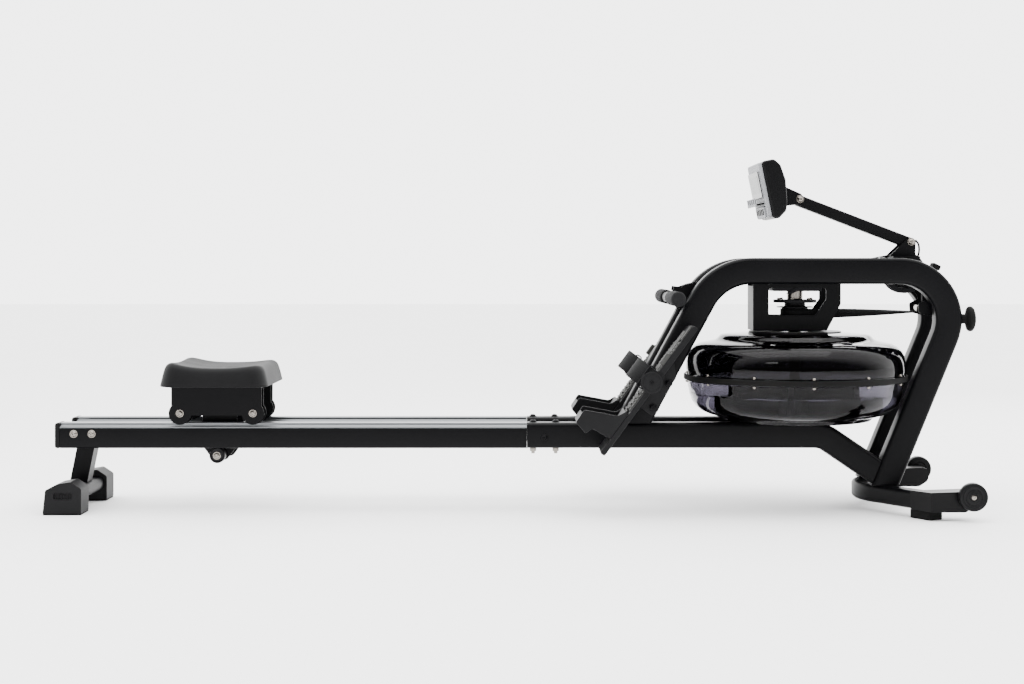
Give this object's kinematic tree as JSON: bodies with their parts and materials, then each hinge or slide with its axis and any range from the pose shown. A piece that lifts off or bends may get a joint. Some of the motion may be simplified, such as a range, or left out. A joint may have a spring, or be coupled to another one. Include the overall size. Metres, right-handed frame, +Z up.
{
  "type": "water rowing machine",
  "caption": "Rowing machine with a sliding seat on twin rails, a round water tank between arch tubes, strap-driven handle, strapped footrests and a folding console arm.",
  "frame": {"origin": "middle of the footprint on the floor: bottom centre of the bounding box", "axes": "+X from the seat towards the tank along the rails, +Z up, +Y to the left of a rower facing the tank"},
  "size_m": [2.1204, 0.532, 0.8058],
  "materials": {
    "powder_coat": "satin black powder coat",
    "rail_aluminium": "satin anodised",
    "moulded_plastic": "fine texture",
    "dark_plastic": "smooth satin",
    "light_plastic": "satin",
    "screen": "gloss",
    "rubber": "matt",
    "foam": "closed-cell foam",
    "seat_skin": "moulded polyurethane",
    "tank_shell": "smoke-grey clear",
    "webbing": "woven",
    "roller": "satin",
    "bare_steel": "turned"
  },
  "bodies": {
    "frame": {"arch_tube_right": "powder_coat", "front_beam_right": "powder_coat", "front_end_cap_right": "dark_plastic", "front_pad_right": "rubber", "storage_bumper_right": "rubber", "rail_tube_right": "powder_coat", "rail_track_right": "rail_aluminium", "rail_end_cap_right": "dark_plastic", "rear_foot_cap_right": "moulded_plastic", "footplate_right": "moulded_plastic", "foot_strap_right": "webbing", "arch_tube_left": "powder_coat", "front_beam_left": "powder_coat", "front_end_cap_left": "dark_plastic", "front_pad_left": "rubber", "storage_bumper_left": "rubber", "rail_tube_left": "powder_coat", "rail_track_left": "rail_aluminium", "rail_end_cap_left": "dark_plastic", "rear_foot_cap_left": "moulded_plastic", "footplate_left": "moulded_plastic", "foot_strap_left": "webbing", "front_foot_tube": "powder_coat", "rear_leg": "powder_coat", "rear_foot_tube": "powder_coat", "tank_upper": "tank_shell", "tank_lower": "tank_shell", "drive_bracket": "powder_coat", "pulley_frame": "powder_coat", "drive_strap": "webbing", "pull_strap": "webbing", "handle_rest": "powder_coat", "console_base": "powder_coat", "console_cable": "rubber"},
    "seat": {"seat_pad": "seat_skin", "seat_carriage": "powder_coat"},
    "handle": {"handle_bar": "powder_coat", "handle_grip_right": "foam", "handle_grip_left": "foam"},
    "impeller": {"impeller": "dark_plastic"},
    "strap_drum": {"strap_drum": "dark_plastic"},
    "front_pulley": {"front_pulley": "dark_plastic"},
    "guide_roller": {"guide_roller": "bare_steel"},
    "console_arm": {"console_arm": "powder_coat"},
    "console_head": {"console_shell": "dark_plastic", "console_bezel": "light_plastic", "console_screen": "screen", "tablet_ledge": "light_plastic"},
    "transport_wheel_right": {"transport_wheel_right": "moulded_plastic"},
    "seat_roller_rear_right": {"seat_roller_rear_right": "roller"},
    "seat_roller_front_right": {"seat_roller_front_right": "roller"},
    "keeper_roller_right": {"keeper_roller_right": "roller"},
    "heel_slide_right": {"heel_slide_right": "moulded_plastic"},
    "transport_wheel_left": {"transport_wheel_left": "moulded_plastic"},
    "seat_roller_rear_left": {"seat_roller_rear_left": "roller"},
    "seat_roller_front_left": {"seat_roller_front_left": "roller"},
    "keeper_roller_left": {"keeper_roller_left": "roller"},
    "heel_slide_left": {"heel_slide_left": "moulded_plastic"}
  },
  "joints": [
    {"name": "seat_slide", "type": "slide", "parent": "frame", "child": "seat", "axis": [1, 0, 0], "range_m": [-0.225, 0.58]},
    {"name": "handle_pull", "type": "slide", "parent": "frame", "child": "handle", "axis": [-1, 0, 0], "range_m": [0, 1.15]},
    {"name": "drum_spin", "type": "hinge", "parent": "frame", "child": "strap_drum", "pos_m": [0.65784, 0, 0.466], "axis": [0, 0, 1], "continuous": true},
    {"name": "impeller_spin", "type": "hinge", "parent": "frame", "child": "impeller", "pos_m": [0.65784, 0, 0.3], "axis": [0, 0, 1], "continuous": true},
    {"name": "pulley_spin", "type": "hinge", "parent": "frame", "child": "front_pulley", "pos_m": [0.91134, 0, 0.547], "axis": [0, 1, 0], "continuous": true},
    {"name": "guide_spin", "type": "hinge", "parent": "frame", "child": "guide_roller", "pos_m": [0.94764, 0, 0.464], "axis": [0, 1, 0], "continuous": true},
    {"name": "arm_lift", "type": "hinge", "parent": "frame", "child": "console_arm", "pos_m": [0.92563, 0, 0.6178], "axis": [0, 1, 0], "range_deg": [-8, 50]},
    {"name": "console_tilt", "type": "hinge", "parent": "console_arm", "child": "console_head", "pos_m": [0.66763, 0, 0.717], "axis": [0, 1, 0], "range_deg": [-20, 25]},
    {"name": "wheel_spin_right", "type": "hinge", "parent": "frame", "child": "transport_wheel_right", "pos_m": [1.00684, -0.255, 0.056], "axis": [0, 1, 0], "continuous": true},
    {"name": "roller_spin_rear_right", "type": "hinge", "parent": "seat", "child": "seat_roller_rear_right", "pos_m": [-0.76366, -0.0705, 0.224], "axis": [0, 1, 0], "continuous": true},
    {"name": "roller_spin_front_right", "type": "hinge", "parent": "seat", "child": "seat_roller_front_right", "pos_m": [-0.59667, -0.0705, 0.224], "axis": [0, 1, 0], "continuous": true},
    {"name": "keeper_spin_right", "type": "hinge", "parent": "seat", "child": "keeper_roller_right", "pos_m": [-0.68016, -0.066, 0.1267], "axis": [0, 1, 0], "continuous": true},
    {"name": "heel_adjust_right", "type": "slide", "parent": "frame", "child": "heel_slide_right", "axis": [0.5936, 0, 0.8048], "range_m": [-0.012, 0.04]},
    {"name": "wheel_spin_left", "type": "hinge", "parent": "frame", "child": "transport_wheel_left", "pos_m": [1.00684, 0.255, 0.056], "axis": [0, 1, 0], "continuous": true},
    {"name": "roller_spin_rear_left", "type": "hinge", "parent": "seat", "child": "seat_roller_rear_left", "pos_m": [-0.76366, 0.0705, 0.224], "axis": [0, 1, 0], "continuous": true},
    {"name": "roller_spin_front_left", "type": "hinge", "parent": "seat", "child": "seat_roller_front_left", "pos_m": [-0.59667, 0.0705, 0.224], "axis": [0, 1, 0], "continuous": true},
    {"name": "keeper_spin_left", "type": "hinge", "parent": "seat", "child": "keeper_roller_left", "pos_m": [-0.68016, 0.066, 0.1267], "axis": [0, 1, 0], "continuous": true},
    {"name": "heel_adjust_left", "type": "slide", "parent": "frame", "child": "heel_slide_left", "axis": [0.5936, 0, 0.8048], "range_m": [-0.012, 0.04]}
  ],
  "couplings": [
    {"joint": "drum_spin", "follows": "handle_pull", "rad_per_m": 31.056},
    {"joint": "pulley_spin", "follows": "handle_pull", "rad_per_m": -22.075},
    {"joint": "guide_spin", "follows": "handle_pull", "rad_per_m": -107.53},
    {"joint": "roller_spin_rear_right", "follows": "seat_slide", "rad_per_m": 48.309},
    {"joint": "roller_spin_front_right", "follows": "seat_slide", "rad_per_m": 48.309},
    {"joint": "keeper_spin_right", "follows": "seat_slide", "rad_per_m": -55.556},
    {"joint": "roller_spin_rear_left", "follows": "seat_slide", "rad_per_m": 48.309},
    {"joint": "roller_spin_front_left", "follows": "seat_slide", "rad_per_m": 48.309},
    {"joint": "keeper_spin_left", "follows": "seat_slide", "rad_per_m": -55.556}
  ]
}
